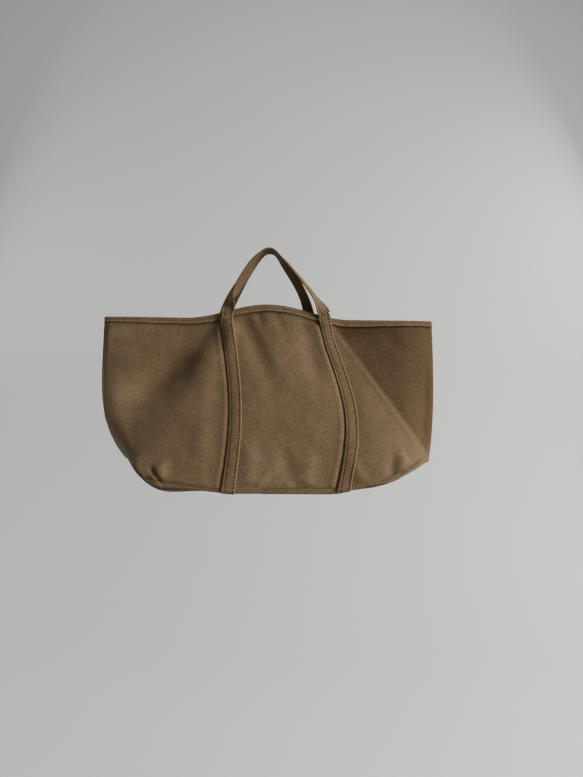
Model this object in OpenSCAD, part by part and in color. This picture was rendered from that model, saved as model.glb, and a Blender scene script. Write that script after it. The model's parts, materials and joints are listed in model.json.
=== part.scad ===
// A wide canvas tote with a boxed bottom, hanging from its two handles.
// The origin is where the handles rest on what they hang from. +X is to the
// right along the mouth, -Y is the front, and +Z is up. Sizes are in millimetres.

/* [Bag] */
// Width across the mouth, laid flat
mouth_w = 560; // [440:5:680]
// Height of the front and back panels, from rim to bottom seam
panel_h = 300; // [240:5:380]
// Length of the bottom panel
bottom_l = 400; // [320:5:460]
// Depth of the bottom panel, front to back, laid flat
bottom_d = 150; // [130:5:220]
// Thickness of the canvas
canvas = 1.6; // [1.2:0.1:2.4]

/* [How it hangs] */
// Drop from the hanging point to where the straps leave the rim
handle_drop = 107; // [80:1:180]
// How far the bottom seams hang apart, front to back
bottom_spread = 144; // [110:1:150]
// How far the back bottom seam lies behind the hanging point
back_reach = 14; // [6:1:30]
// How far the mouth stands open in the middle
mouth_gap = 34; // [24:1:60]
// How high the rim's middle is pulled above its ends
rim_rise = 24; // [0:1:40]
// Half the length of rim that the handles pull up
rise_half = 140; // [100:5:200]
// How far the ends of the bottom lift above its front edge
foot_lift = 36; // [0:1:60]
// How far each end of the bottom spreads past its flat length
foot_splay = 48; // [20:1:80]

/* [Hem and seam tapes] */
// Height of the folded hem along the rim
hem_h = 12; // [8:1:25]
// Thickness that the fold adds on each face
hem_ply = 1.5; // [1:0.1:3]
// Width of the tape that binds the inner seams
tape_w = 9; // [6:1:16]
// Thickness of that tape with the seam edges inside it
tape_t = 3; // [2:0.1:5]

/* [Straps and handles] */
// Width of the strap
strap_w = 22; // [16:1:40]
// Thickness of the folded and stitched strap
strap_t = 3; // [2:0.1:5]
// Middle of the front left strap at the rim
front_left_top = -72; // [-120:1:-40]
// Middle of the front left strap at the bottom seam
front_left_foot = -53; // [-130:1:-30]
// How far the front left strap bows to the right on its way down
front_left_bow = 10; // [0:1:30]
// Middle of the front right strap at the rim
front_right_top = 94; // [40:1:120]
// Middle of the front right strap at the bottom seam
front_right_foot = 119; // [30:1:130]
// How far the front right strap bows to the right on its way down
front_right_bow = 24; // [0:1:30]
// Middle of the back left strap at the rim
back_left_top = -80; // [-120:1:-40]
// Middle of the back left strap at the bottom seam
back_left_foot = -90; // [-130:1:-30]
// Middle of the back right strap at the rim
back_right_top = 68; // [40:1:120]
// Middle of the back right strap at the bottom seam
back_right_foot = 84; // [30:1:130]
// Radius that the handles bend to where they hang over a rod or peg
hang_r = 14; // [5:1:25]
// Gap between the two handles where they hang side by side
handle_gap = 0.6; // [0.4:0.1:10]

/* [Clearances] */
// Gap between a handle's end and the fold it turns on
turn_above = 2; // [1.5:0.1:4]
// Gap between that fold and the end of the sewn strap
turn_below = 6; // [5.2:0.1:9]
// Gap between a handle's end and the hem behind it
turn_clear = 0.4; // [0.3:0.1:2]

/* [Hidden] */
cloth = [0.50, 0.41, 0.28];
cloth_dark = [0.44, 0.36, 0.24];
strap_cloth = [0.54, 0.45, 0.31];
columns = 40;
rows = 12;
bottom_rows = 12;
strap_rows = 18;
leg_rings = 16;
crest_rings = 6;
half_w = mouth_w / 2;
front_reach = bottom_spread - back_reach;
panel_drop = sqrt(pow(panel_h, 2) - pow(front_reach - mouth_gap / 2, 2));
seam_z = -handle_drop - panel_drop;
corner_round = 45;
flat_half = bottom_l / 2 - corner_round;
foot_x = bottom_l / 2 + foot_splay;
foot_y = (front_reach - back_reach) / 2;
// The cloth is longer than the gap it hangs across, and sags by this much.
bottom_sag = bottom_spread * sqrt(0.375 * max(0, bottom_d / bottom_spread - 1));
// How far the rim's ends lie below the fold that the handles turn on
rim_low = 11;
// Powers that keep the sides wide and the front close until low down
x_hold = 2.4;
y_hold = 1.2;
// How far a sewn piece bites into the one it is sewn to
bite = 0.3;
// How far a panel's edge stops short of the side seam's line
edge_in = 1.2;
// How far short of the side seams the bottom panel ends
bottom_in = 4;
// How far past its flat length a bottom corner begins to turn
corner_out = 10;
// Panels, straps and side tapes start and stop a little inside the seams
panel_start = 0.004;
strap_end = 0.995;
tape_end = 0.985;
// Share of the hem that the side tapes reach into
tape_in_hem = 0.6;
// Where a handle's leg heads: in towards the peg, and up as a share of the drop
leg_in = 0.89;
leg_up = 0.78;
crest_pull = 0.3;
// Shares of a leg where its quarter turn starts and how long it takes
turn_start = 0.08;
turn_length = 0.72;
// Step for measuring a surface's slope
step = 0.01;

function clamp(t) = max(0, min(1, t));
function ease(t) = t * t * (3 - 2 * t);
function mix(a, b, t) = a + (b - a) * t;
function unit(v) = v / norm(v);
function bezier(a, b, c, d, t) = let (k = 1 - t)
    a * pow(k, 3) + b * 3 * k * k * t + c * 3 * k * t * t + d * pow(t, 3);

// Height of the rim at a place across it: a soft hill between the straps.
function rim_z(s) = let (t = clamp(abs(s) / rise_half))
    -handle_drop - rim_low + rim_rise * (0.5 + 0.5 * cos(180 * t));

// A panel is worked out as a front one. reach is how far forward its bottom seam
// is, and foot is where its side seam ends, which the back panel shares.
function rim_point(s) =
    [s, -mouth_gap / 2 * (1 - pow(s / half_w, 2)), rim_z(s)];
function seam_point(s, reach, foot) = let (
        w = clamp((abs(s) - flat_half) / (half_w - flat_half)),
        turn = bezier([flat_half, -reach], [bottom_l / 2 + corner_out, -reach],
            [foot_x - foot_splay / 2, mix(-reach, foot, 0.35)], [foot_x, foot], w)
    )
    w == 0 ? [s, -reach, seam_z]
    : [sign(s) * turn[0], turn[1], seam_z + foot_lift * ease(w)];
function panel_point(s, v, reach, foot) = let (
        top = rim_point(s),
        low = seam_point(s, reach, foot)
    )
    [mix(top[0], low[0], pow(v, x_hold)), mix(top[1], low[1], pow(v, y_hold)),
        mix(top[2], low[2], v)];
function panel_normal(s, v, reach, foot) = let (
        across = panel_point(s + 1, v, reach, foot) - panel_point(s - 1, v, reach, foot),
        down = panel_point(s, min(1, v + step), reach, foot)
            - panel_point(s, max(0, v - step), reach, foot)
    )
    unit(cross(down, across));
function on_panel(s, v, lift, reach, foot) =
    panel_point(s, v, reach, foot) + lift * panel_normal(s, v, reach, foot);

// A closed slab between two grids of points, each a list of rows.
module slab(outer, inner) {
    r = len(outer);
    c = len(outer[0]);
    n = r * c;
    points = concat([for (row = outer) each row], [for (row = inner) each row]);
    cells = [for (i = [0:r - 2], j = [0:c - 2]) [i * c + j, i * c + j + 1]];
    faces = concat(
        [for (k = cells) each [[k[0], k[1], k[0] + c], [k[1], k[1] + c, k[0] + c]]],
        [for (k = cells) each [[n + k[0], n + k[0] + c, n + k[1]],
            [n + k[1], n + k[0] + c, n + k[1] + c]]],
        [for (j = [0:c - 2]) each [[j, n + j, j + 1], [j + 1, n + j, n + j + 1]]],
        [for (j = [0:c - 2], b = [(r - 1) * c]) each
            [[b + j, b + j + 1, n + b + j], [b + j + 1, n + b + j + 1, n + b + j]]],
        [for (i = [0:r - 2], b = [i * c]) each
            [[b, b + c, n + b], [n + b, b + c, n + b + c]]],
        [for (i = [0:r - 2], b = [i * c + c - 1]) each
            [[b, n + b, b + c], [n + b, n + b + c, b + c]]]
    );
    polyhedron(points, faces, convexity = 8);
}

// A piece of a panel's surface, from lift_in to lift_out above its middle.
module panel_patch(s0, s1, s_steps, v0, v1, v_steps, lift_in, lift_out, reach, foot) {
    function grid(lift) = [for (i = [0:v_steps]) [for (j = [0:s_steps])
        on_panel(mix(s0, s1, j / s_steps), mix(v0, v1, i / v_steps), lift, reach, foot)]];
    slab(grid(lift_out), grid(lift_in));
}

module panel(reach, foot)
    panel_patch(edge_in - half_w, half_w - edge_in, columns, panel_start, 1, rows,
        -canvas / 2, canvas / 2, reach, foot);

module hem(reach, foot)
    panel_patch(edge_in - half_w, half_w - edge_in, columns, 0, hem_h / panel_h, 2,
        -canvas / 2 - hem_ply, canvas / 2 + hem_ply, reach, foot);

module seam_tape(reach, foot)
    panel_patch(edge_in - half_w, half_w - edge_in, columns, 1 - tape_w / panel_h, 1, 1,
        -canvas / 2 - tape_t, bite - canvas / 2, reach, foot);

// A handle turns about a line in the middle of its strap, just clear of the hem.
turn_y = mouth_gap / 2 + canvas / 2 + hem_ply + turn_clear + strap_t / 2;
strap_top_z = -handle_drop - turn_below;

// The strap starts in line with its handle, rides over the hem, then lies on the
// panel down to the bottom seam.
function strap_seat(v) = canvas / 2 - bite
    + hem_ply * (1 - ease(clamp((v * panel_h - hem_h) / hem_h)));
function strap_x(top_x, low_x, bow, v) = mix(top_x, low_x, v) + bow * sin(180 * v);
function strap_point(s, v, extra, reach, foot) = let (
        p = on_panel(s, max(0, v), strap_seat(v) + extra, reach, foot),
        z = p[2] - min(0, v) * (rim_z(s) - seam_z),
        lined_up = 1 - ease(clamp((strap_top_z - z) / hem_h))
    )
    [p[0], mix(p[1], strap_t / 2 - extra - turn_y, lined_up), z];
module sewn_strap(top_x, low_x, bow, reach, foot) {
    function grid(extra) = [for (i = [0:strap_rows]) [for (e = [-1, 0, 1])
        let (
            edge_x = top_x + e * strap_w / 2,
            v_top = (rim_z(edge_x) - strap_top_z) / (rim_z(edge_x) - seam_z),
            v = mix(v_top, strap_end, i / strap_rows)
        )
        strap_point(strap_x(top_x, low_x, bow, max(0, v)) + e * strap_w / 2, v, extra,
            reach, foot)]];
    slab(grid(strap_t), grid(0));
}

crest_y = (strap_w + handle_gap) / 2;
wrap_r = hang_r + strap_t / 2;
wrap_a = 50;

// Half of a handle's middle line, from the rim to where it meets the peg.
function leg_point(x, t) = let (
        s = sign(x),
        start = [x, -turn_y, turn_above - handle_drop],
        meet = [s * wrap_r * cos(wrap_a), -crest_y, wrap_r * sin(wrap_a) - hang_r],
        slope = [s * sin(wrap_a), 0, -cos(wrap_a)]
    )
    bezier(start, [x * leg_in, -turn_y, -handle_drop * leg_up],
        meet + slope * handle_drop * crest_pull, meet, t);
function crest_point(a) = [wrap_r * cos(a), -crest_y, wrap_r * sin(a) - hang_r];
function handle_line(left_x, right_x) = concat(
    [for (i = [0:leg_rings]) leg_point(left_x, i / leg_rings)],
    [for (i = [1:crest_rings - 1])
        crest_point(mix(180 - wrap_a, wrap_a, i / crest_rings))],
    [for (i = [leg_rings:-1:0]) leg_point(right_x, i / leg_rings)]);
// Each leg makes a quarter turn between the rim and the crest.
function quarter_turn(i, last) = let (t = clamp(min(i, last - i) / leg_rings))
    90 * ease(clamp((t - turn_start) / turn_length));

module handle(left_x, right_x) {
    line = handle_line(left_x, right_x);
    last = len(line) - 1;
    rings = [for (i = [0:last])
        let (
            along = unit(line[min(last, i + 1)] - line[max(0, i - 1)]),
            flat = i == 0 || i == last ? [0, 0, i == 0 ? 1 : -1] : along,
            turn = quarter_turn(i, last),
            wide = unit(-cos(turn) * cross(flat, [0, 1, 0]) - sin(turn) * [0, 1, 0]),
            face = unit(cross(wide, flat))
        )
        [for (c = [[-1, -1], [1, -1], [1, 1], [-1, 1]])
            line[i] + wide * c[0] * strap_w / 2 + face * c[1] * strap_t / 2]];
    points = [for (ring = rings) each ring];
    faces = concat(
        [[3, 2, 1, 0], [for (k = [0:3]) last * 4 + k]],
        [for (i = [0:last - 1], k = [0:3]) let (a = i * 4, b = a + 4, m = (k + 1) % 4)
            each [[a + k, a + m, b + k], [a + m, b + m, b + k]]]);
    polyhedron(points, faces, convexity = 6);
}

module front_panel() {
    color(cloth) panel(front_reach, -foot_y);
}
module back_panel() {
    color(cloth) mirror([0, 1, 0]) panel(back_reach, foot_y);
}
// The bottom hangs in a shallow sag between its two long seams.
module bottom_panel() {
    ends = half_w - bottom_in;
    function base(s, t) = let (
            a = seam_point(s, front_reach, -foot_y),
            m = seam_point(s, back_reach, foot_y),
            p = mix(a, [m[0], -m[1], m[2]], t)
        )
        [p[0], p[1], p[2] - bottom_sag * 4 * t * (1 - t)
            * (-m[1] - a[1]) / bottom_spread];
    function normal(s, t) = unit(cross(
        base(s, min(1, t + step)) - base(s, max(0, t - step)),
        base(s + 1, t) - base(s - 1, t)));
    function grid(lift) = [for (i = [0:bottom_rows]) [for (j = [0:columns])
        let (s = mix(-ends, ends, j / columns), t = i / bottom_rows)
        base(s, t) + lift * normal(s, t)]];
    color(cloth_dark) slab(grid(canvas / 2), grid(-canvas / 2));
}
module front_hem() {
    color(strap_cloth) hem(front_reach, -foot_y);
}
module back_hem() {
    color(strap_cloth) mirror([0, 1, 0]) hem(back_reach, foot_y);
}
module bottom_seam_tape() {
    color(cloth_dark) {
        seam_tape(front_reach, -foot_y);
        mirror([0, 1, 0]) seam_tape(back_reach, foot_y);
    }
}
// The tape stands inward from the side seam and holds the edges of both panels.
module side_seam_tape(side) {
    v_top = hem_h / panel_h * tape_in_hem;
    function grid(y) = [for (i = [0:rows])
        let (v = mix(v_top, tape_end, i / rows),
            p = panel_point(side * half_w, v, front_reach, -foot_y))
        [for (x = side > 0 ? [tape_w, 0] : [0, tape_w]) [p[0] - side * x, p[1] + y, p[2]]]];
    color(cloth_dark) slab(grid(-tape_t / 2), grid(tape_t / 2));
}
module left_seam_tape() side_seam_tape(-1);
module right_seam_tape() side_seam_tape(1);
module front_strap(top_x, low_x, bow) {
    color(strap_cloth) sewn_strap(top_x, low_x, bow, front_reach, -foot_y);
}
module back_strap(top_x, low_x) {
    color(strap_cloth) mirror([0, 1, 0]) sewn_strap(top_x, low_x, 0, back_reach, foot_y);
}
module front_left_strap() front_strap(front_left_top, front_left_foot, front_left_bow);
module front_right_strap()
    front_strap(front_right_top, front_right_foot, front_right_bow);
module back_left_strap() back_strap(back_left_top, back_left_foot);
module back_right_strap() back_strap(back_right_top, back_right_foot);
module front_handle() {
    color(strap_cloth) handle(front_left_top, front_right_top);
}
module back_handle() {
    color(strap_cloth) mirror([0, 1, 0]) handle(back_left_top, back_right_top);
}

front_panel();
back_panel();
bottom_panel();
front_hem();
back_hem();
bottom_seam_tape();
left_seam_tape();
right_seam_tape();
front_left_strap();
front_right_strap();
back_left_strap();
back_right_strap();
front_handle();
back_handle();
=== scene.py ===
# %% [markdown]
# # A wide canvas tote, hung by its two handles
#
# This lesson dresses a finished frame as cloth. The frame holds every size, joint and
# hinge line; here we only make what shows: canvas panels with real folds, a turned hem,
# bound seams, straps with their stitching, and twisted handle loops.
# We work in metres, with the front of the bag facing -Y and +Z up.

# %% Load the frame
import json
import math

import bmesh
import bpy
import numpy as np
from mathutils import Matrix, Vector, noise


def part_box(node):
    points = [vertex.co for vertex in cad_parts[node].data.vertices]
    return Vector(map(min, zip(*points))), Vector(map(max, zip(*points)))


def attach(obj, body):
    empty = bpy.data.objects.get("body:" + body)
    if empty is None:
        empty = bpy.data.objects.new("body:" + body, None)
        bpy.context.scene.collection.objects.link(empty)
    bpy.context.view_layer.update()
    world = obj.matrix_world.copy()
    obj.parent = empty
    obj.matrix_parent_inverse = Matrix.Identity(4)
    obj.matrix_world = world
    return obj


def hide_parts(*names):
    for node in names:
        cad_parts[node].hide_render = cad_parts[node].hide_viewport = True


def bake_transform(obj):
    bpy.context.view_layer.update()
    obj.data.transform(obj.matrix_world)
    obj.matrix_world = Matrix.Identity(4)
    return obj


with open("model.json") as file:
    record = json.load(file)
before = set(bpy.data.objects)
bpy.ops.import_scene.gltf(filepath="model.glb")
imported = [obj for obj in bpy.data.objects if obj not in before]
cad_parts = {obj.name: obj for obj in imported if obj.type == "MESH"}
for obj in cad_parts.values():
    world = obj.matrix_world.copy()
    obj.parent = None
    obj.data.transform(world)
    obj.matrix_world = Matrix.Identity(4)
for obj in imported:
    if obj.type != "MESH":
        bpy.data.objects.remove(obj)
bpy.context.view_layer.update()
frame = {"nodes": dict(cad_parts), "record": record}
print("nodes:", ", ".join(sorted(frame["nodes"])))

# %% [markdown]
# ## Sizes, read from the frame
# A bag maker works from a cut: panel width and height, bottom size, strap width.
# Most live in the frame, so we measure its nodes. What a box can't tell, such as the
# hem's height or where the straps are sewn, is typed here, once.

# %% Sizes
MM = 0.001
front_low, front_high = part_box("front_panel")
back_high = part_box("back_panel")[1]
floor_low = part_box("bottom_panel")[0]
hinges = {j["name"]: j["pos_m"] for j in frame["record"]["behaviour"]["joints"]}

cloth_t = 1.6 * MM
side_ease = 1.2 * MM  # the cloth goes this far past the frame's plain panel
half_w = float(front_high[0]) + side_ease
rim_top = float(front_high[2])
rim_rise = 24 * MM
rim_low = rim_top - rim_rise + 1 * MM
seam_z = float(front_low[2])
front_reach = -float(front_low[1]) - cloth_t / 2
back_reach = float(back_high[1]) - cloth_t / 2
mouth_half = 17 * MM
panel_h = 300 * MM
hem_h = 12 * MM
strap_w = 22 * MM
strap_t = 3 * MM
hinge_y = abs(float(hinges["front_handle_swing"][1]))
hinge_z = float(hinges["front_handle_swing"][2])
STRAP_LINES = {
    # where each strap's middle meets the rim and the bottom seam, and how far it bows
    # sideways between them, in millimetres to the right of the bag's middle
    "front_left_strap": (-72, -58, 14),
    "front_right_strap": (94, 118, 27),
    "back_left_strap": (-80, -90, 0),
    "back_right_strap": (68, 84, 0),
}
print("half width", round(half_w, 4), "seam", round(seam_z, 4), "hinge", hinge_y, hinge_z)

# %% [markdown]
# ## A few words of geometry
# Cloth is easiest to describe as a sheet with two directions: s runs across the panel
# and v runs from the rim (0) to the bottom seam (1). Every piece that is sewn on, such
# as a strap or a stitch, can then ask the sheet where it should lie. The helpers below
# ease, mix and bend numbers, whole arrays at a time. Two of them take their places and
# widths in millimetres, which is how a sewer would say them.

# %% Helpers for curves
def mix(a, b, t):
    return a + (b - a) * t


def smooth(t):
    t = np.clip(t, 0.0, 1.0)
    return t * t * (3 - 2 * t)


def ease(x, start, length):
    """0 up to the start, then rising to 1 over the length; both in millimetres."""
    return smooth((x - start * MM) / (length * MM))


def hump(x, middle, width):
    """1 at the middle and fading on both sides; both in millimetres."""
    return np.exp(-(((x - middle * MM) / (width * MM)) ** 2))


def bezier(a, b, c, d, t):
    k = 1 - t
    return a * k**3 + 3 * b * k * k * t + 3 * c * k * t * t + d * t**3


def unit(v):
    return v / np.maximum(np.linalg.norm(v, axis=-1, keepdims=True), 1e-12)


def stack(x, y, z):
    x, y, z = np.broadcast_arrays(x, y, z)
    return np.stack([x, y, z], axis=-1)


def strap_path(node, v):
    """Where a strap's middle lies across the panel, from the rim (0) to the seam (1)."""
    top_x, low_x, bow = (n * MM for n in STRAP_LINES[node])
    return mix(top_x, low_x, v) + bow * np.sin(np.pi * v**1.25)


# %% [markdown]
# ## The hanging shell
# The rim is nearly straight, with a soft hill where the handles pull it up. The bottom
# seam runs round half of the bottom panel: straight along the front, then round each
# corner to the foot of the side seam. A panel is what lies between those two lines.
# The sides stay wide until low down, as cloth does, so they follow a steeper power.

# %% Rim line and bottom seam line
flat_half = 155 * MM
rise_half = 140 * MM
rim_tilt = 4 * MM
rim_forward = 12 * MM
rim_shift = 2 * MM
corner_right, corner_left = 210 * MM, 196 * MM
foot_y = -(front_reach - back_reach) / 2
foot_left = np.array([-233, 0, 35]) * MM
foot_right = np.array([262, 0, 30]) * MM


def rim_line(s, side):
    hill = 0.5 + 0.5 * np.cos(np.pi * np.clip(np.abs(s) / rise_half, 0, 1))
    z = rim_low + rim_rise * hill - rim_tilt * s / half_w
    forward = rim_forward * ease(np.abs(s), 120, 160)
    y = side * mouth_half * (1 - (s / half_w) ** 2) - forward
    return stack(s - rim_shift, y, z)


def seam_sway(s):
    """The front seam hangs a little low in the middle and is drawn up to each side."""
    left = 10 * MM * ease(-s, 40, 110) - 8 * MM
    right = mix(14 * MM, 7 * MM, ease(s, 200, 80)) * ease(s, 95, 80)
    return left + right


def seam_line(s, side):
    reach = front_reach if side < 0 else back_reach
    w = np.clip((np.abs(s) - flat_half) / (half_w - flat_half), 0, 1)
    foot_x = np.where(s > 0, foot_right[0], -foot_left[0])
    lift = np.where(s > 0, foot_right[2], foot_left[2])
    corner_x = np.where(s > 0, corner_right, corner_left)
    y0 = side * reach
    x = bezier(flat_half, corner_x, mix(corner_x, foot_x, 0.45), foot_x, w)
    y = bezier(y0, y0, mix(y0, foot_y, 0.35), foot_y, w)
    x = np.where(w > 0, np.sign(s) * x, s)
    return stack(x, y, seam_z + seam_sway(s) * (side < 0) + lift * smooth(w))


def bare_panel(s, v, side):
    top, low = rim_line(s, side), seam_line(s, side)
    x = mix(top[..., 0], low[..., 0], v ** np.where(s > 0, 3.0, 4.6))
    y = mix(top[..., 1], low[..., 1], v**1.2)
    return stack(x, y, mix(top[..., 2], low[..., 2], v))


print("the side seams end at x", foot_left[0], "and", foot_right[0])


# %% [markdown]
# ## Folds
# A hung tote folds where its weight is carried: creases fan out from the ends of the
# straps towards the corners of the bottom. They could be left to a cloth simulation,
# but then they fall where they like. We place the few main ones, each a line with a
# depth and a width, and add soft noise for the small ones.

# %% Fold lines
CREASE = (100, -119), (264, -352)  # from (x, z), to (x, z), in millimetres
HOLLOW = (-78, -112), (-215, -300)
strap_top, strap_run = 110 * MM, 278 * MM


def beside(x, z, a, b):
    """Distance to the right of the line from a to b, and the share of the way along."""
    a, b = np.array(a) * MM, np.array(b) * MM
    dx, dz = b[0] - a[0], b[1] - a[1]
    length = math.hypot(dx, dz)
    along = ((x - a[0]) * dx + (z - a[1]) * dz) / length**2
    across = ((x - a[0]) * -dz + (z - a[1]) * dx) / length
    return across, along


def fold(x, z, a, b, depth, width, fade):
    """A soft ridge (depth over 0) or valley (under 0) along a line, in millimetres."""
    across, along = beside(x, z, a, b)
    ends = smooth(along / fade[0]) * smooth((1 - along) / fade[1])
    return depth * MM * hump(across, 0, width) * ends


def corner_crease(x, z):
    """The long crease from the right strap's top to the right corner. The cloth falls
    away towards it, and past it climbs again to the side seam. The crease itself is
    pressed sharp, with a fine lip."""
    across, along = beside(x, z, *CREASE)
    before = np.exp(-((np.maximum(-across, 0) / (60 * MM)) ** 1.3))
    after = 1 - ease(across, 0, 120)
    shape = -10 * MM * np.where(across < 0, before, after)
    lip = 1.0 * MM * hump(across, -1, 4.5)
    ends = smooth(along / 0.15) * smooth((1.05 - along) / 0.25)
    return (shape + lip) * ease(-z, 119, 26) * ends


FRONT_FOLDS = [
    # from (x, z), to (x, z), depth, width, in millimetres, and the share of the length
    # over which each end fades
    ((-80, -112), (-236, -288), -11.5, 26, (0.5, 0.35)),
    ((-78, -112), (-130, -170), -4.0, 13, (0.1, 0.6)),
    ((-84, -150), (-150, -330), 6.0, 26, (0.25, 0.4)),
    ((-276, -116), (-262, -350), 9.0, 42, (0.15, 0.3)),
    ((-92, -180), (-108, -372), 3.2, 16, (0.3, 0.3)),
    ((-62, -118), (-60, -190), 2.6, 9, (0.2, 0.5)),
    ((-46, -108), (26, -270), -5.0, 15, (0.08, 0.6)),
    ((-20, -104), (-8, -140), -2.0, 7, (0.2, 0.6)),
    ((10, -104), (28, -148), -1.8, 8, (0.2, 0.6)),
    ((56, -112), (96, -260), -4.0, 15, (0.15, 0.5)),
    ((110, -170), (160, -345), -3.0, 18, (0.3, 0.4)),
    ((-30, -300), (-24, -388), 2.6, 14, (0.5, 0.1)),
    ((22, -320), (44, -390), -2.4, 12, (0.5, 0.1)),
    ((70, -330), (62, -388), 2.6, 12, (0.5, 0.1)),
    ((-20, -386), (30, -352), 1.6, 5, (0.2, 0.6)),
    ((24, -388), (74, -362), 1.8, 5, (0.2, 0.6)),
    ((130, -340), (150, -384), 2.4, 10, (0.5, 0.1)),
    ((190, -384), (202, -326), -3.6, 7, (0.1, 0.6)),
    ((212, -372), (214, -322), 2.6, 7, (0.1, 0.6)),
    ((236, -368), (200, -330), 2.0, 6, (0.2, 0.6)),
    ((-152, -390), (-182, -354), -4.2, 3.4, (0.1, 0.35)),
    ((-172, -392), (-152, -340), 4.5, 11, (0.1, 0.5)),
    ((-196, -378), (-206, -340), 2.5, 9, (0.1, 0.5)),
    ((-200, -381), (-60, -399), 1.8, 4.0, (0.1, 0.15)),
    ((144, -402), (256, -358), 1.6, 4.0, (0.2, 0.15)),
    ((-252, -250), (-184, -352), -2.5, 22, (0.3, 0.3)),
]
# Where the seam's roll shows as a dark line just above the edge
SEAM_LINES = [((-196, -373), (-62, -392)), ((-14, -391), (116, -390)),
              ((140, -394), (250, -350))]
FRONT_FOLDS += [(a, b, -2.4, 2.6, (0.1, 0.15)) for a, b in SEAM_LINES]


def waves(x, z, pitch, depth, seed):
    """Soft unevenness, the same every time: noise read at each point of the cloth."""
    flat = np.stack([x.ravel() / pitch, z.ravel() / pitch], axis=-1)
    values = [noise.noise(Vector((a, b, seed))) for a, b in flat]
    return depth * np.array(values).reshape(x.shape)


def strap_pull(x, z):
    """Sewing a strap down draws the cloth in beside it: a thin groove, then a ridge."""
    relief = 0 * x
    for node in ("front_left_strap", "front_right_strap"):
        v = np.clip((-strap_top - z) / strap_run, 0, 1)
        gap = x - (strap_path(node, v) - strap_w / 2)
        groove = -1.7 * MM * hump(gap, 0, 3.4)
        ridge = 1.3 * MM * hump(gap, -8, 4.5)
        relief = relief + (groove + ridge) * ease(-z, 118, 20)
    return relief


def front_relief(x, z):
    relief = corner_crease(x, z) + strap_pull(x, z)
    for start, end, depth, width, fade in FRONT_FOLDS:
        relief = relief + fold(x, z, start, end, depth, width, fade)
    relief = relief + waves(x, z, 70 * MM, 2.6 * MM, 3.0)
    return relief + waves(x, z, 22 * MM, 0.8 * MM, 8.0)


def back_relief(x, z):
    relief = fold(x, z, (-86, -116), (-196, -300), -3.0, 18, (0.15, 0.4))
    relief = relief + fold(x, z, (72, -116), (190, -310), -3.0, 18, (0.15, 0.4))
    relief = relief + waves(x, z, 80 * MM, 2.4 * MM, 15.0)
    return relief + waves(x, z, 26 * MM, 0.7 * MM, 21.0)


print(len(FRONT_FOLDS), "folds on the front, besides the long crease")


# %% [markdown]
# ## One sheet as a grid that can be asked
# Each panel becomes a grid of points. A small class keeps the grid and answers two
# questions for anything sewn to it: where is the cloth at (s, v), and which way is out.

# %% Sheets that can be sampled
class Sheet:
    def __init__(self, points, s, v, outward):
        self.points, self.s, self.v = points, s, v
        across = np.gradient(points, axis=1)
        down = np.gradient(points, axis=0)
        self.normals = outward * unit(np.cross(across, down))

    def read(self, grid, s, v):
        s, v = np.broadcast_arrays(np.asarray(s, float), np.asarray(v, float))
        j = np.clip(np.interp(s, self.s, np.arange(len(self.s))), 0, len(self.s) - 1.001)
        i = np.clip(np.interp(v, self.v, np.arange(len(self.v))), 0, len(self.v) - 1.001)
        j0, i0 = j.astype(int), i.astype(int)
        a, b = (j - j0)[..., None], (i - i0)[..., None]
        top = mix(grid[i0, j0], grid[i0, j0 + 1], a)
        low = mix(grid[i0 + 1, j0], grid[i0 + 1, j0 + 1], a)
        return mix(top, low, b)

    def at(self, s, v, lift=0.0):
        out = unit(self.read(self.normals, s, v))
        return self.read(self.points, s, v) + np.asarray(lift)[..., None] * out


def make_sheet(side, columns, rows, relief):
    s = np.linspace(-half_w, half_w, columns)
    v = np.linspace(0, 1, rows)
    bare = bare_panel(s[None, :], v[:, None], side)
    plain = Sheet(bare, s, v, side)
    # Folds die away at the seams, which hold the cloth still.
    edge = ease(half_w - np.abs(s), 0, 14)[None, :]
    ends = smooth(v / 0.02) * (1 - 0.8 * smooth((v - 0.975) / 0.025))
    depth = relief(bare[..., 0], bare[..., 2]) * edge * ends[:, None]
    return Sheet(bare + depth[..., None] * plain.normals, s, v, side)


front = make_sheet(-1, 281, 131, front_relief)
back = make_sheet(1, 161, 81, back_relief)
print("front normal at the middle:", front.normals[65, 140].round(2))
print("back normal at the middle:", back.normals[40, 80].round(2))

# %% [markdown]
# ## The bottom panel
# The bottom is a flat rectangle of cloth, sewn all round. Hung up, it sags a little
# between its two long seams. It starts a few millimetres behind the front panel's
# edge, because both edges turn in there and meet on the inside.

# %% Bottom sheet
tuck, under = 2.6 * MM, 0.6 * MM
short_by = 5 * MM
bottom_sag = (seam_z - float(floor_low[2])) * 0.75


def make_bottom(columns, rows):
    s = np.linspace(-half_w + short_by, half_w - short_by, columns)
    t = np.linspace(0, 1, rows)
    a = seam_line(s, -1)[None] + np.array([0, tuck, -under])
    b = seam_line(s, 1)[None] + np.array([0, -tuck, -under])
    flat = mix(a, b, t[:, None, None])
    depth = (b[..., 1] - a[..., 1]) / (front_reach + back_reach)
    hang = (4 * t * (1 - t)) ** 0.6
    slack = 0.45 + 0.9 * hump(s, -150, 62) + 0.5 * hump(s, 175, 60)
    sag = bottom_sag * hang[:, None] * depth * slack
    folds = waves(flat[..., 0], flat[..., 1], 60 * MM, 3.0 * MM, 31.0) * hang[:, None]
    flat[..., 2] -= sag + folds
    return Sheet(flat, s, t, -1.0)


bottom = make_bottom(121, 33)
print("bottom normal at the middle:", bottom.normals[16, 60].round(2))
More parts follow.
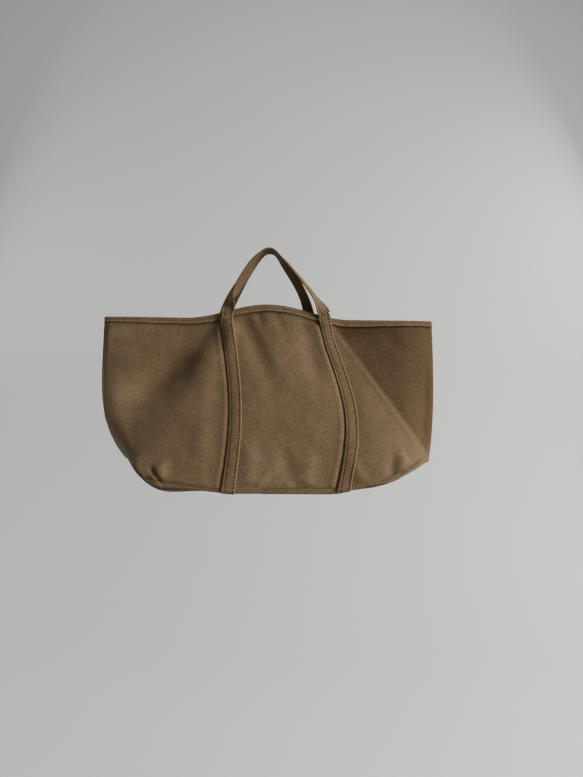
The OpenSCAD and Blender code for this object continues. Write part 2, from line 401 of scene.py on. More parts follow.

# %% [markdown]
# ## From grids to meshes
# Two builders make nearly everything. The first turns a grid of points into quads. The
# second sweeps a closed outline along a line, for hems, straps, tapes and thread.
# Both keep a coordinate for the weave, in metres along the cloth, so that the threads
# run true to the cut and not to the room. They also keep how worn each point is, with
# the painted light and shade added in.

# %% Mesh builders
def mesh_object(name, verts, faces, weave=None, wear_and_painted_light=None):
    mesh = bpy.data.meshes.new(name)
    mesh.from_pydata(np.asarray(verts, float).tolist(), [], faces)
    mesh.validate()
    piece = bpy.data.objects.new(name, mesh)
    bpy.context.scene.collection.objects.link(piece)
    mesh.polygons.foreach_set("use_smooth", [True] * len(mesh.polygons))
    if weave is not None:
        layer = mesh.attributes.new("weave", "FLOAT_VECTOR", "POINT")
        layer.data.foreach_set("vector", np.asarray(weave, np.float32).ravel())
    # one value per point: wear, with painted light and shade added in
    layer = mesh.attributes.new("wear_and_painted_light", "FLOAT", "POINT")
    values = np.zeros(len(mesh.vertices)) if wear_and_painted_light is None else np.asarray(wear_and_painted_light)
    layer.data.foreach_set("value", values.astype(np.float32).ravel())
    return piece


def grid_faces(rows, columns, first=0, around=False):
    faces = []
    for i in range(rows - 1):
        for j in range(columns if around else columns - 1):
            k = (j + 1) % columns
            a, b = first + i * columns + j, first + i * columns + k
            faces.append((a, b, b + columns, a + columns))
    return faces


def sweep(name, rings, weave, wear_and_painted_light=None):
    """A closed outline carried along a line: rings is rows x outline points x 3."""
    rows, around = rings.shape[:2]
    faces = grid_faces(rows, around, around=True)
    faces.append(tuple(range(around - 1, -1, -1)))
    faces.append(tuple(range((rows - 1) * around, rows * around)))
    if wear_and_painted_light is not None:
        wear_and_painted_light = np.tile(wear_and_painted_light, rows)
    return mesh_object(name, rings.reshape(-1, 3), faces, weave.reshape(-1, 3), wear_and_painted_light)


def tidy_normals(piece):
    b = bmesh.new()
    b.from_mesh(piece.data)
    bmesh.ops.recalc_face_normals(b, faces=b.faces)
    b.to_mesh(piece.data)
    b.free()
    return piece


def soften(piece):
    """Rounds a coarse mesh: each face becomes four, on a smooth surface."""
    soft = piece.modifiers.new("soften", "SUBSURF")
    soft.levels = soft.render_levels = 1
    return soft


def thicken(piece):
    """Gives a single sheet its two faces."""
    solid = piece.modifiers.new("cloth thickness", "SOLIDIFY")
    solid.thickness = cloth_t
    solid.offset = 0.0


# %% [markdown]
# ## Turned edges
# No raw edge shows on a finished bag. At each seam the cloth rolls over and runs back
# inside. We add a few rows past each edge that follow half a small circle and then a
# short flap. The roll is what catches the light beside the dark line of the seam.

# %% Turned-in rows
ROLL_ANGLES = np.radians([25, 55, 90, 125, 160, 180])
roll_r, roll_flap = 2.0 * MM, 6 * MM
faded_rows = 3  # the first rows of the roll show, and they fade


def turned_rows(edge, normals, direction):
    """The roll dies away at both ends, where the side seams close the corner."""
    share = np.arange(len(edge)) / (len(edge) - 1)
    ends = smooth(np.minimum(share, 1 - share) / 0.05)[:, None]
    radius, flap = roll_r * ends, roll_flap * ends
    rows = []
    for a in ROLL_ANGLES:
        rows.append(edge + radius * (math.sin(a) * direction - (1 - math.cos(a)) * normals))
    rows.append(rows[-1] - flap * 0.5 * direction)
    rows.append(rows[-1] - flap * 0.5 * direction)
    return rows


def ridge_wear_and_hollow_shade(points, normals, reach=6):
    """How much each point stands proud of the cloth round it: it fades on the ridges, and the
    hollows are painted darker as shade.
    """
    around = np.zeros_like(points)
    steps = ((0, reach), (0, -reach), (reach, 0), (-reach, 0))
    for shift in steps:
        around += np.roll(points, shift, axis=(0, 1)) / len(steps)
    proud = ((points - around) * normals).sum(-1)
    proud[:reach], proud[-reach:], proud[:, :reach], proud[:, -reach:] = 0, 0, 0, 0
    return np.clip(proud / (1.6 * MM), -1, 1)


def painted_shade_and_light(sheet):
    """Painted shade and light on the front cloth. Where it lies folded back, right of the
    long crease and along the hollow on the left, it is painted darker as shade, and darker
    still under the hem and along the seam's roll, as painted shadow. It is painted lighter
    low in the middle as painted light, and it is lighter at the left corner."""
    x, z = sheet.points[..., 0], sheet.points[..., 2]
    across, along = beside(x, z, *CREASE)
    # painted shade right of the long crease
    right = ease(across, -3, 9) * mix(0.62, 1.0, ease(-x, -290, 90))
    right = right * ease(-z, 110, 10) * smooth((1.0 - along) / 0.07)
    # painted shade along the hollow on the left
    across, along = beside(x, z, *HOLLOW)
    left = hump(across, 0, np.where(across > 0, 34, 46))
    left = left * smooth(along / 0.45) * smooth((1.35 - along) / 0.5)
    # painted shadow just under the hem
    below = sheet.v[:, None] * panel_h - hem_h
    hem = hump(np.maximum(below, 0), 0, 2.8) * (below > -1 * MM)
    # painted shade along the seam's roll
    seam = 0 * x
    for start, end in SEAM_LINES:
        across, along = beside(x, z, start, end)
        seam = seam + hump(across, 0, 2.0) * smooth(along / 0.1) * smooth((1 - along) / 0.1)
    # painted light low in the middle; the left corner is made lighter too
    painted_light_low = hump(x, 10, 85) * ease(-z, 300, 60)
    corner = hump(x, -245, 48) * ease(-z, 190, 70)
    light = 0.3 * painted_light_low + 1.05 * corner
    return light - 1.2 * right - 0.55 * left - 2.0 * hem - 1.3 * seam


def panel_mesh(name, sheet, turn_top=False):
    points, out = sheet.points, sheet.normals
    # lighter on the ridges from wear, painted darker in the hollows as shade
    wear_and_painted_light = ridge_wear_and_hollow_shade(points, out) * 0.35
    if sheet is front:
        # painted shade and light on the front cloth, added to its wear
        wear_and_painted_light = wear_and_painted_light + painted_shade_and_light(sheet)
    if turn_top:
        # painted shadow along the bottom's front edge, under the front panel's roll
        wear_and_painted_light = wear_and_painted_light - 1.4 * np.exp(-((sheet.v / 0.05) ** 2))[:, None]
    unworn = np.zeros(points.shape[1])
    extra = turned_rows(points[-1], out[-1], unit(points[-1] - points[-2]))
    count = len(extra)
    past = [(k + 1) * MM for k in range(count)]
    rows = list(points) + extra
    weave_v = list(sheet.v * panel_h) + [panel_h + d for d in past]
    wear_and_painted_light = list(wear_and_painted_light) + [unworn + 0.3] * faded_rows + [unworn] * (count - faded_rows)
    if turn_top:
        extra = turned_rows(points[0], out[0], unit(points[0] - points[1]))
        rows = extra[::-1] + rows
        weave_v = [-d for d in past[::-1]] + weave_v
        wear_and_painted_light = [unworn] * count + wear_and_painted_light
    grid = np.array(rows)
    s, v = np.meshgrid(sheet.s, np.array(weave_v))
    weave = np.stack([s, v, np.zeros_like(s)], axis=-1).reshape(-1, 3)
    return mesh_object(name, grid.reshape(-1, 3), grid_faces(*grid.shape[:2]), weave,
                       np.array(wear_and_painted_light))


def add_panels():
    made = {"front_panel": panel_mesh("front_panel_cloth", front),
            "back_panel": panel_mesh("back_panel_cloth", back),
            "bottom_panel": panel_mesh("bottom_panel_cloth", bottom, turn_top=True)}
    soften(made["bottom_panel"]).boundary_smooth = "PRESERVE_CORNERS"
    for node, piece in made.items():
        thicken(piece)
        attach(piece, "bag")
        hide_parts(node)
    return made


panels = add_panels()
for piece in panels.values():
    print(piece.name, len(piece.data.vertices), "points before smoothing")

# %% [markdown]
# ## The hem
# The rim is a band folded twice and stitched near its lower edge. Washing shrinks the
# thread, so the band puffs above the stitches and puckers along them. One outline,
# carried round the rim, gives the fold, the groove and the pucker together.

# %% Hem band
HEM_OUTLINE = [
    # depth below the rim as a share of the hem, and height off the cloth in mm
    (1.02, 0.5), (1.00, 1.7), (0.93, 2.3), (0.84, 2.0), (0.76, 1.5), (0.68, 1.9),
    (0.50, 2.6), (0.28, 2.7), (0.10, 2.3), (-0.02, 1.2), (-0.05, 0.0), (-0.02, -1.2),
    (0.10, -2.2), (0.50, -2.4), (0.76, -1.4), (0.95, -2.0), (1.02, -0.5),
]


hem_puff = 0.85


def unevenness(s, rate, seed):
    """Noise along a line, between -1 and 1, with about rate bumps in a metre."""
    return np.array([noise.noise(Vector((x * rate, seed, 0))) for x in s])


def add_hem(name, sheet, node):
    s = np.linspace(-half_w + 1 * MM, half_w - 1 * MM, 280)
    low, lift = np.array(HEM_OUTLINE).T
    lift = lift * MM
    pucker = unevenness(s, 180, 4.0)
    ripple = 0.35 * MM * pucker[:, None] * np.sign(lift)[None, :] * (low > 0.05)[None, :]
    wobble = 0.5 * MM * unevenness(s, 60, 9.0)
    v = np.maximum((low[None, :] * hem_h + wobble[:, None] * (low > 0.6)) / panel_h, 0)
    points = sheet.at(s[:, None], v, lift[None, :] * hem_puff + ripple)
    above = np.minimum(low, 0) * hem_h
    points[..., 2] -= above[None, :]
    ss, vv = np.broadcast_arrays(s[:, None], low[None, :] * hem_h)
    weave = np.stack([ss, vv, np.zeros_like(ss)], axis=-1)
    piece = tidy_normals(sweep(name, points, weave))
    soften(piece)
    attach(piece, "bag")
    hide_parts(node)
    return piece


front_hem = add_hem("front_hem_band", front, "front_hem")
back_hem = add_hem("back_hem_band", back, "back_hem")
print("hem height", hem_h, "with", len(HEM_OUTLINE), "outline points")

# %% [markdown]
# ## Straps and handles
# One long strip of folded canvas makes each handle: sewn up the panel from the bottom
# seam, over the top as a loop, and down again. The sewn lengths never move and the loop
# does, so they are separate pieces that meet just under the hinge line. Their outline
# is the same: a flat strip with soft edges and a groove along each row of stitches.

# %% Strap outline
STRAP_OUTLINE = [
    # across as a share of half the width, height as a share of the thickness, and how
    # much lighter (over 0) or darker (under 0) the cloth is painted there: darker in the
    # stitch grooves and underneath as painted shade, lighter on the raised edges, partly
    # wear and partly painted highlight
    (-1.00, 0.45, 0.0), (-0.98, 0.84, 0.4), (-0.90, 1.04, 0.6), (-0.72, 1.08, 0.4),
    (-0.64, 0.90, -0.2), (-0.58, 0.62, -0.6), (-0.52, 0.90, -0.2), (-0.42, 1.04, 0.2),
    (0.00, 1.08, 0.25), (0.42, 1.04, 0.1), (0.51, 0.86, -0.7), (0.58, 0.48, -1.4),
    (0.65, 0.86, -0.8), (0.74, 1.12, 0.5), (0.90, 1.10, 0.8), (0.98, 0.86, 0.4),
    (1.00, 0.45, 0.0), (0.96, 0.12, -0.6), (0.80, 0.00, -0.6), (0.00, 0.00, -0.6),
    (-0.80, 0.00, -0.6), (-0.96, 0.12, -0.6),
]
# third column: painted shade in grooves and underneath; edges lighter, partly wear, partly
# painted highlight
outline_x, outline_h, outline_wear_and_painted_light = np.array(STRAP_OUTLINE).T
outline_x = outline_x * strap_w / 2
outline_h = outline_h * strap_t

join_drop = 4 * MM
join_z = hinge_z - join_drop
print("straps join their handles at", round(join_z, 4))

# %% [markdown]
# ## Sewn straps
# A sewn strap lies on its panel and takes every fold of it. Near the rim it climbs over
# the hem, then runs straight up to the line its handle turns on. So each cross-section
# sits on the sheet low down and is eased over to the hinge line at the top.

# %% Strap builder
ACROSS = np.linspace(-1, 1, 9)  # stations across a strap, from edge to edge
MIDDLE = 4
tuck_under = 2.6 * MM  # radius that a strap's lower end turns in with


def strap_frames(node, count=96):
    """Points on the cloth under a strap and their outward directions, row by row."""
    sheet, side = (front, -1) if node.startswith("front") else (back, 1)
    high = float(sheet.at(STRAP_LINES[node][0] * MM, 0.0)[..., 2])
    drop = high - seam_z
    v = np.linspace((high - join_z - 3 * MM) / drop, 0.996, count)
    inner = np.clip(v, 0, 1)
    over_hem = 1 - ease(v * panel_h - hem_h, 0, 9)
    lift = cloth_t / 2 + 2.0 * MM * over_hem + 0.2 * MM
    s = strap_path(node, inner)[:, None] + ACROSS[None, :] * strap_w / 2 * 0.98
    on = sheet.at(s, inner[:, None], lift[:, None])
    out = unit(sheet.read(sheet.normals, s, inner[:, None]))
    z = high - v * drop
    lined = 1 - ease(join_z - 1 * MM - z, 0, 13)
    straight = stack(s, side * (hinge_y - strap_t / 2), z[:, None])
    on = mix(on, straight, lined[:, None, None])
    out = unit(mix(out, np.array([0, side, 0]), lined[:, None, None]))
    last, facing = on[-1], out[-1]
    down = unit(on[-1] - on[-3])
    for a in np.radians([25, 50, 75, 100]):
        turned = last + tuck_under * (math.sin(a) * down - (1 - math.cos(a)) * facing)
        on = np.concatenate([on, turned[None]])
        out = np.concatenate([out, (math.cos(a) * facing + math.sin(a) * down)[None]])
    return on, out


def read_line(at, places, points):
    """Reads x, y and z between points whose places along the line are given."""
    return np.stack([np.interp(at, places, points[:, k]) for k in range(3)], axis=-1)


def outline_rings(on, out):
    """Places the strap's outline on each row of points, with its height outward."""
    share = outline_x / (strap_w / 2)
    return np.array([read_line(share, ACROSS, base)
                     + read_line(share, ACROSS, facing) * outline_h[:, None]
                     for base, facing in zip(on, out)])


def strap_weave(rings, along):
    rows, around = rings.shape[:2]
    u = np.broadcast_to(outline_x[None, :], (rows, around))
    w = np.broadcast_to(np.asarray(along)[:, None], (rows, around))
    return np.stack([u, w, np.full_like(u, 0.37)], axis=-1)


def lengths(line):
    steps = np.linalg.norm(np.diff(line, axis=0), axis=1)
    return np.concatenate([[0], np.cumsum(steps)])


def add_sewn_strap(node):
    on, out = strap_frames(node)
    rings = outline_rings(on, out)
    for i, share in enumerate((0.80, 0.88, 0.94)):
        # The top end is slimmer, so that it stays inside the loop that covers it.
        middle = rings[i].mean(axis=0)
        rings[i] = mix(middle, rings[i], share)
    weave = strap_weave(rings, lengths(on[:, MIDDLE]))
    piece = tidy_normals(sweep(node + "_cloth", rings, weave, outline_wear_and_painted_light))
    soften(piece)
    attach(piece, "bag")
    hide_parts(node)
    return piece, (on, out)


sewn = {node: add_sewn_strap(node) for node in STRAP_LINES}
print("sewn straps:", ", ".join(sewn))

# %% [markdown]
# ## Handle loops
# A loop leaves the rim flat against the bag, makes a quarter turn on its way up, and
# passes over the peg with its face to the sky. Cloth that turns does not turn evenly:
# it holds flat by the rim, creases, then twists.

# %% Handle builder
bend_r = 14 * MM
wrap_r = bend_r + strap_t / 2
wrap_angle = math.radians(50)
crest_y = 11.3 * MM
crest_z = -bend_r
bend_top = hinge_z + 12 * MM

LEGS = {
    # node: (side, left leg, right leg). A leg is how far it leans in (1 is upright) and
    # how it turns: pairs of (share of the climb, degrees), 90 being edge-on to the room
    # and more than 90 showing the inner face.
    "front_handle": (-1, (0.90, ((0, 0), (0.12, 3), (0.20, 40), (0.30, 100), (0.5, 122),
                                 (0.8, 114), (0.97, 90), (1, 90))),
                     (0.89, ((0, 0), (0.05, 8), (0.25, 68), (0.55, 74), (0.9, 84),
                             (1, 90)))),
    "back_handle": (1, (0.93, ((0, 0), (0.2, 10), (0.6, 60), (0.95, 90), (1, 90))),
                    (1.03, ((0, 0), (0.12, 34), (0.35, 50), (0.75, 52), (0.96, 86),
                            (1, 90)))),
}


def even_out(values, reach=4):
    """Takes the corners off a broken line of numbers."""
    padded = np.concatenate([np.full(reach, values[0]), values, np.full(reach, values[-1])])
    return np.convolve(padded, np.ones(2 * reach + 1) / (2 * reach + 1), mode="valid")


def leg(side, x, lean, turning, count=60):
    """Points, along and across directions of one leg, from the rim to the peg."""
    way = math.copysign(1, x)
    t = np.linspace(0, 1, count)[:, None]
    foot = np.array([x, side * hinge_y, join_z])
    lift = np.array([x * lean, side * hinge_y, hinge_z * 0.78])
    meet = np.array([way * wrap_r * math.cos(wrap_angle), side * crest_y,
                     crest_z + wrap_r * math.sin(wrap_angle)])
    slope = np.array([way * math.sin(wrap_angle), 0, -math.cos(wrap_angle)])
    line = bezier(foot, lift, meet + slope * 32 * MM, meet, t)
    along = unit(np.gradient(line, axis=0))
    shares, degrees = np.array(turning).T
    turn = np.radians(even_out(np.interp(t[:, 0], shares, degrees)))[:, None]
    flat = np.array([0, 1.0, 0])
    if way > 0:
        along = -along
    wide = unit(-np.cos(turn) * np.cross(along, flat) + side * np.sin(turn) * flat)
    return line, along, wide


def handle_frames(node):
    side, left, right = LEGS[node]
    left_x, right_x = (STRAP_LINES[node.replace("handle", way + "_strap")][0] * MM
                       for way in ("left", "right"))
    a_line, a_along, a_wide = leg(side, left_x, *left)
    b_line, b_along, b_wide = leg(side, right_x, *right)
    arc = np.linspace(math.pi - wrap_angle, wrap_angle, 12)[1:-1]
    c_line = stack(wrap_r * np.cos(arc), side * crest_y, crest_z + wrap_r * np.sin(arc))
    c_along = stack(np.sin(arc), 0.0, -np.cos(arc))
    c_wide = np.tile([0, float(side), 0], (len(arc), 1))
    line = np.concatenate([a_line, c_line, b_line[::-1]])
    along = np.concatenate([a_along, c_along, b_along[::-1]])
    wide = np.concatenate([a_wide, c_wide, b_wide[::-1]])
    # A back handle is a front one seen in a mirror, so its cross product turns over.
    face = -side * unit(np.cross(wide, along))
    return line, unit(wide), face


def loop_rings(line, wide, face, pinch):
    """The outline set on a line by its across and face directions."""
    x = outline_x[None, :, None] * pinch[:, None, None]
    h = (outline_h - strap_t / 2)[None, :, None]
    return line[:, None] + wide[:, None] * x + face[:, None] * h


def bend_zone(node):
    """Two points that mark the span from the join to just above the rim."""
    y = LEGS[node][0] * hinge_y
    return (0, y, join_z), (0, y, bend_top)


def add_handle(node):
    line, wide, face = handle_frames(node)
    print(node, "faces", face[0].round(2), "at the rim and", face[50].round(2), "higher")
    along = lengths(line)
    pinch = 1 - 0.05 * hump(along - along[-1] / 2, 0, 18)
    rings = loop_rings(line, wide, face, pinch)
    piece = sweep(node + "_cloth", rings, strap_weave(rings, along), outline_wear_and_painted_light)
    soften(tidy_normals(piece))
    low, high = bend_zone(node)
    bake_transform(piece)
    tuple(low)
    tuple(high)
    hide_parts(node)
    return piece, (line, wide, face)


loops = {"front_handle": add_handle("front_handle"),
         "back_handle": add_handle("back_handle")}

# %% [markdown]
# ## Seam tapes
# Inside, every seam is bound: a narrow folded tape covers the cut edges. The side tapes
# stand inward from the side seams, and the bottom tapes lie along the panels just above
# the bottom seams. They show only from above, and they make the inside look finished.

# %% Tape builder
TAPE_OUTLINE = [
    # across as a share of half the width, height as a share of half the thickness
    (-1, 0.3), (-0.9, 0.9), (-0.6, 1.0), (0.6, 1.0), (0.9, 0.9), (1, 0.3),
    (0.9, -0.3), (-0.9, -0.3),
]
tape_w, tape_t = 9 * MM, 2.4 * MM


def tape(name, middle, wide, face, node):
    x, h = np.array(TAPE_OUTLINE).T
    x, h = x * tape_w / 2, h * tape_t / 2
    rings = middle[:, None] + wide[:, None] * x[None, :, None] + face[:, None] * h[None, :, None]
    u = np.broadcast_to(x[None, :], rings.shape[:2])
    w = np.broadcast_to(lengths(middle)[:, None], rings.shape[:2])
    piece = tidy_normals(sweep(name, rings, np.stack([u, w, np.zeros_like(u)], axis=-1)))
    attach(piece, "bag")
    if node:
        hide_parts(node)
    return piece


def side_tape(side, node):
    v = np.linspace(0.026, 0.97, 40)
    edge = front.at(side * half_w, v)
    wide = np.tile([float(side), 0.0, 0.0], (len(v), 1))
    face = np.tile([0.0, -1.0, 0.0], (len(v), 1))
    middle = edge - wide * (tape_w / 2 + 0.8 * MM)
    return tape(node + "_binding", middle, wide, face, node)


def bottom_tape(sheet, name, node):
    s = np.linspace(-half_w + 30 * MM, half_w - 30 * MM, 110)
    place = 1 - (tape_w / 2 + 2.5 * MM) / panel_h
    out = unit(sheet.read(sheet.normals, s, place))
    middle = sheet.at(s, place, -(cloth_t / 2 + tape_t / 2 - 0.2 * MM))
    up = unit(sheet.at(s, place - 0.01) - sheet.at(s, place + 0.01))
    return tape(name, middle, up, -out, node)


tapes = [side_tape(-1, "left_seam_tape"), side_tape(1, "right_seam_tape"),
         bottom_tape(front, "front_bottom_binding", "bottom_seam_tape"),
         bottom_tape(back, "back_bottom_binding", None)]
print("tapes:", ", ".join(p.name for p in tapes))

# %% [markdown]
# ## Stitches
# Thread is what tells the eye how big a thing is. A lockstitch shows as short grains
# with small gaps, each end sinking into the cloth. Each row becomes one mesh of little
# tubes: three rings of five points are enough at this size. The rows on the straps lie
# in the grooves of their outline, and the rows on the loops follow the loops' line.

# %% Stitch rows
thread_r = 0.62 * MM
stitch_pitch, stitch_share = 5.6 * MM, 0.62
stitch_start = 0.12  # the gap before each stitch, as a share of the pitch
groove_at = 0.58  # where the grooves run, as a share of half the strap's width
groove_h = 0.72  # height of the thread in a groove, as a share of the thickness
hem_row = 0.76  # where the hem's row runs, as a share of its height
RING = [(math.cos(a), math.sin(a)) for a in np.linspace(0, 2 * math.pi, 6)[:-1]]
threads = []


def stitch_row(name, line, out, body, bend=None, pitch=stitch_pitch):
    """Stitches along a line of points, each with an outward direction."""
    along = lengths(line)
    count = int(along[-1] / pitch)
    verts, faces = [], []
    for i in range(count):
        stations = [(i + stitch_start + k * stitch_share / 2) * pitch
                    + along[-1] - count * pitch for k in range(3)]
        places = [(read_line(d, along, line), unit(read_line(d, along, out)))
                  for d in stations]
        way = unit(places[2][0] - places[0][0])
        first = len(verts)
        for (at, up), lift, size in zip(places, (-0.25, 0.25, -0.25), (0.6, 1.0, 0.6)):
            side = unit(np.cross(way, up))
            r = thread_r
            for c, sn in RING:
                verts.append(at + up * (lift * MM + sn * r * size) + side * c * r * size)
        faces += grid_faces(3, 5, first=first, around=True)
        faces.append(tuple(range(first + 4, first - 1, -1)))
        faces.append(tuple(range(first + 10, first + 15)))
    piece = tidy_normals(mesh_object(name, np.array(verts), faces))
    if bend:
        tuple(bend[0])
        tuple(bend[1])
        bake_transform(piece)
    else:
        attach(piece, body)
    threads.append(piece)


def stitch_sewn_strap(node):
    on, out = sewn[node][1]
    for name, share in (("left", -groove_at), ("right", groove_at)):
        line = np.array([read_line(share, ACROSS, row) for row in on])
        up = unit(np.array([read_line(share, ACROSS, row) for row in out]))
        stitch_row(f"{node}_{name}_stitches", line + up * strap_t * groove_h, up, "bag")


def stitch_loop(node, body):
    line, wide, face = loops[node][1]
    off = groove_at * strap_w / 2
    for name, way in (("left", -1), ("right", 1)):
        row = line + wide * way * off + face * (groove_h * strap_t - strap_t / 2)
        stitch_row(f"{node}_{name}_stitches", row, face, body, bend_zone(node))


def stitch_hem(sheet, name):
    s = np.linspace(-half_w + 3 * MM, half_w - 3 * MM, 260)
    v = hem_row * hem_h / panel_h
    out = unit(sheet.read(sheet.normals, s, v))
    stitch_row(name, sheet.at(s, v, 1.55 * MM), out, "bag")


def stitch_across(node, below_rim):
    """The row that pins a strap to the hem."""
    on, out = sewn[node][1]
    z = on[:, MIDDLE, 2]
    i = int(np.argmin(np.abs(z - (z[0] - below_rim))))
    line = (on[i] + out[i] * strap_t * 1.04)[1:-1]
    name = f"{node}_cross_stitches_{int(below_rim / MM)}"
    stitch_row(name, line, out[i][1:-1], "bag", pitch=3.6 * MM)


for node in STRAP_LINES:
    stitch_sewn_strap(node)
    for depth in (9 * MM, 19 * MM):
        stitch_across(node, depth)
stitch_loop("front_handle", "front_loop")
stitch_loop("back_handle", "back_loop")
stitch_hem(front, "front_hem_stitches")
stitch_hem(back, "back_hem_stitches")
print(len(threads), "rows,", sum(len(p.data.polygons) for p in threads), "faces of thread")

# %% [markdown]
# ## A small language for materials
# A material is a sum: cloth colour, plus thread by thread change, plus wear. Wrapping a
# node's output in a class lets us write that sum as it reads. Adding two wires adds a
# Math node; everything that isn't arithmetic comes from one method, node().

# %% Wires and the bench they lie on
class Wire:
    """One value on its way through a material."""
    def __init__(self, bench, socket):
        self.bench, self.socket = bench, socket

    def sum(self, operation, a, b=None):
        inputs = {0: a} if b is None else {0: a, 1: b}
        return self.bench.node("ShaderNodeMath", {"operation": operation}, inputs)

    def __add__(self, other):
        return self.sum("ADD", self, other)

    def __sub__(self, other):
        return self.sum("SUBTRACT", self, other)

    def __mul__(self, other):
        return self.sum("MULTIPLY", self, other)

    def __rsub__(self, other):
        return self.sum("SUBTRACT", other, self)

    __radd__, __rmul__ = __add__, __mul__

    def sine(self):
        return self.sum("SINE", self)

    def clamp(self):
        return self.bench.node("ShaderNodeClamp", {}, {0: self})


class Bench:
    """A material being built: it adds nodes and joins them up."""
    def __init__(self, name):
        self.material = bpy.data.materials.new(name)
        self.material.use_nodes = True
        self.tree = self.material.node_tree
        self.shader = self.tree.nodes["Principled BSDF"]

    def node(self, kind, settings, inputs, out=0):
        made = self.tree.nodes.new(kind)
        for key, value in settings.items():
            setattr(made, key, value)
        for key, value in inputs.items():
            self.plug(made.inputs[key], value)
        return Wire(self, made.outputs[out])

    def plug(self, socket, value):
        if isinstance(value, Wire):
            self.tree.links.new(value.socket, socket)
        else:
            socket.default_value = value

    def blend(self, share, a, b):
        """Mixes two colours."""
        settings = {"data_type": "RGBA", "blend_type": "MIX"}
        return self.node("ShaderNodeMix", settings, {0: share, 6: a, 7: b}, out=2)

    def grain(self, where, scale, detail, rough, stretch=(1, 1, 1)):
        """Noise, pulled out along a direction by stretch."""
        where = self.node("ShaderNodeVectorMath", {"operation": "MULTIPLY"},
                          {0: where, 1: stretch})
        inputs = {"Vector": where, "Scale": scale, "Detail": detail, "Roughness": rough}
        return self.node("ShaderNodeTexNoise", {}, inputs)

    def bump(self, height, strength, distance):
        inputs = {"Strength": strength, "Distance": distance, "Height": height}
        return self.node("ShaderNodeBump", {}, inputs)

    def finish(self, **sockets):
        for name, value in sockets.items():
            self.plug(self.shader.inputs[name.replace("_", " ")], value)
        return self.material


def colour(r, g, b):
    return (r, g, b, 1.0)


# %% [markdown]
# ## Canvas
# Washed canvas is a plain weave of uneven threads. Close to, it is a grid of small
# bumps; an arm's length away only the slubs are left, faint streaks both ways. It fades
# on the ridges, and it is painted darker in the folds as shade. The weave follows the
# cut through the coordinate kept on each mesh, so it turns and stretches with the cloth.

# %% Canvas, strap and tape finishes
def woven(name, base, deep, pale, pitch, slub, bump):
    """Cloth in three tones: deep in the folds, which is painted shade, and pale where it is
    worn or painted lighter. The pitch is one thread's width, and slub says how strongly
    uneven threads show."""
    b = Bench(name)
    weave = b.node("ShaderNodeAttribute", {"attribute_name": "weave"}, {}, out=1)
    # the value per point: wear, plus painted light and shade
    wear_and_painted_light = b.node("ShaderNodeAttribute", {"attribute_name": "wear_and_painted_light"}, {}, out=2)
    u = b.node("ShaderNodeSeparateXYZ", {}, {0: weave}, out=0)
    v = b.node("ShaderNodeSeparateXYZ", {}, {0: weave}, out=1)
    turn = math.pi / pitch
    threads_up = (u * turn).sine() * (v * turn).sine()
    across = b.grain(weave, 560, 3.0, 0.65, (0.3, 1, 1))
    down = b.grain(weave, 560, 3.0, 0.65, (1, 0.3, 1))
    streaks = across + down - 1.0
    mottle = b.grain(weave, 160, 4.0, 0.65) - 0.5
    cloud = b.grain(weave, 11, 3.0, 0.5) - 0.5
    shade = streaks * slub + mottle * 0.42 + cloud * 0.14 + wear_and_painted_light * 0.45 + threads_up * 0.05
    dark = (0 - shade).clamp()
    light = shade.clamp()
    tint = b.blend(light, b.blend(dark, base, deep), pale)
    height = threads_up * 0.35 + streaks * 1.2 + mottle * 0.8
    bumped = b.bump(height, bump, 0.6 * MM)
    rough = 0.90 - wear_and_painted_light * 0.04 + streaks * 0.05
    return b.finish(Base_Color=tint, Roughness=rough, Normal=bumped,
                    Sheen_Weight=0.03, Sheen_Roughness=0.5, Specular_IOR_Level=0.15)


canvas_finish = woven("washed canvas", colour(0.107, 0.071, 0.037),
                      colour(0.032, 0.016, 0.004), colour(0.245, 0.176, 0.100),
                      0.9 * MM, 0.85, 0.9)
strap_finish = woven("folded strap canvas", colour(0.104, 0.067, 0.032),
                     colour(0.030, 0.015, 0.004), colour(0.240, 0.172, 0.096),
                     0.8 * MM, 0.85, 0.9)
tape_finish = woven("binding tape", colour(0.105, 0.068, 0.033),
                    colour(0.045, 0.025, 0.010), colour(0.210, 0.148, 0.084),
                    0.7 * MM, 0.5, 0.6)

# %% [markdown]
# ## Thread
# Sewing thread is two or three plies twisted together, a little shinier than the cloth.
# At this size a fine noise gives the twist, and a lower roughness the shine.

# %% Thread finish
def thread_material():
    b = Bench("sewing thread")
    where = b.node("ShaderNodeTexCoord", {}, {}, out=3)
    twist = b.grain(where, 900, 1.0, 0.5)
    tint = b.blend(twist, colour(0.15, 0.100, 0.051), colour(0.31, 0.222, 0.126))
    bumped = b.bump(twist, 0.5, 0.2 * MM)
    return b.finish(Base_Color=tint, Roughness=0.62, Normal=bumped, Sheen_Weight=0.1)


thread_finish = thread_material()


def dress(pieces, material):
    for piece in pieces:
        piece.data.materials.clear()
        piece.data.materials.append(material)


dress(list(panels.values()) + [front_hem, back_hem], canvas_finish)
dress([p for p, _ in sewn.values()] + [p for p, _ in loops.values()], strap_finish)
dress(tapes, tape_finish)
dress(threads, thread_finish)
for node, obj in frame["nodes"].items():
    # The frame's own solids are hidden, but none is left without a finish.
    finish = tape_finish if "tape" in node else strap_finish
    if "panel" in node or "hem" in node:
        finish = canvas_finish
    for held in obj.material_slots:
        held.material = finish
print("finishes:", ", ".join(m.name for m in bpy.data.materials))

# %% [markdown]
# ## Strap lengths
# Each strap and handle loop prints the length of its middle line, so that one can see
# that the bag has as much cloth in it as a real one.

# %% Cut sizes
for node, (_, (on, _)) in sewn.items():
    print(node, "is", round(float(lengths(on[:, MIDDLE])[-1]), 3), "m long")
for node, (_, (line, _, _)) in loops.items():
    print(node, "is", round(float(lengths(line)[-1]), 3), "m long")

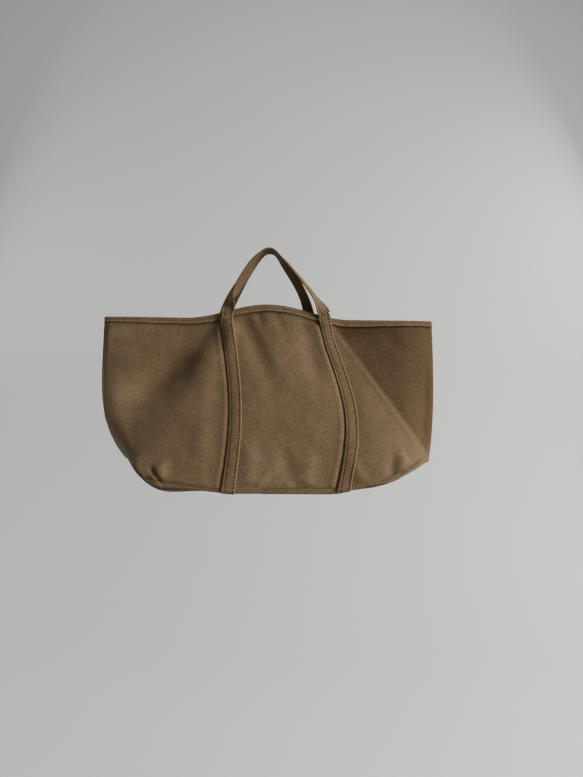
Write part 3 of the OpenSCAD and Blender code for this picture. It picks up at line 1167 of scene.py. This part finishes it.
# %% [markdown]
# ## Floor, light and camera
# The bag hangs in the air, so the floor is well below it, and it curves up into a wall
# of the same pale grey. One large soft lamp stands to the right and above, as a window
# would. The others are weaker: one overhead, one on the shaded side, one that washes
# the wall, and two behind, so that the bag reads from every side.

# %% Stage
def flat_finish(name, tint, roughness):
    b = Bench(name)
    where = b.node("ShaderNodeTexCoord", {}, {}, out=3)
    patch = b.grain(where, 1.6, 2.0, 0.5)
    deeper = tuple(c * 0.97 for c in tint[:3]) + (1.0,)
    return b.finish(Base_Color=b.blend(patch, deeper, tint), Roughness=roughness)


def sweep_floor():
    """A floor that curves up into a wall behind, so that no line shows."""
    near, far, low, high, wide, bend = -3.0, 2.6, -1.35, 3.2, 4.5, 1.2
    profile = [(near, low), (far - bend, low)]
    for a in np.linspace(0, math.pi / 2, 16):
        profile.append((far - bend + bend * math.sin(a), low + bend * (1 - math.cos(a))))
    profile.append((far, high))
    verts = [(x, y, z) for y, z in profile for x in (-wide, wide)]
    piece = mesh_object("studio_floor", verts, grid_faces(len(profile), 2))
    piece.data.materials.append(flat_finish("pale floor", colour(0.58, 0.58, 0.576), 0.95))


def lamp(name, place, target, size, power, tint):
    data = bpy.data.lights.new(name, "AREA")
    data.shape, data.size, data.energy, data.color = "SQUARE", size, power, tint
    lit = bpy.data.objects.new(name, data)
    bpy.context.scene.collection.objects.link(lit)
    lit.location = place
    aim = Vector(target) - Vector(place)
    lit.rotation_euler = aim.to_track_quat("-Z", "Y").to_euler()


sweep_floor()
lamp("window", (2.3, -1.0, 0.75), (0, 0, -0.25), 0.9, 150, (1.0, 0.985, 0.96))
lamp("ceiling", (0.5, -0.8, 2.3), (0, 0, -0.2), 1.6, 18, (1.0, 0.99, 0.975))
lamp("fill", (-1.6, -1.9, -0.2), (0, 0, -0.3), 1.6, 3, (1.0, 0.97, 0.93))
lamp("wall wash", (2.2, 0.9, -0.9), (0.2, 2.6, -0.7), 1.2, 14, (0.97, 0.985, 1.0))
lamp("behind right", (2.5, 1.9, 0.9), (0, 0, -0.25), 1.4, 55, (1.0, 0.99, 0.97))
lamp("behind left", (-2.5, 1.7, 0.7), (0, 0, -0.25), 1.4, 35, (1.0, 0.985, 0.96))
world = bpy.data.worlds.new("room")
bpy.context.scene.world = world
world.use_nodes = True
sky = world.node_tree.nodes["Background"]
sky.inputs["Color"].default_value = (0.95, 0.97, 1.0, 1.0)
sky.inputs["Strength"].default_value = 0.20
print("lamps:", ", ".join(light.name for light in bpy.data.lights))

# %% [markdown]
# ## Camera
# A wide lens close by, level, and a little to the right of the bag's middle.

# %% Camera
eye = bpy.data.objects.new("camera", bpy.data.cameras.new("camera"))
bpy.context.scene.collection.objects.link(eye)
eye.location = (0.038, -1.018, -0.237)
eye.rotation_euler = (math.radians(90), 0, 0)
eye.data.lens = 27.2
eye.data.clip_start, eye.data.clip_end = 0.05, 30
bpy.context.scene.camera = eye
print("lens", eye.data.lens, "mm at", tuple(round(n, 3) for n in eye.location))
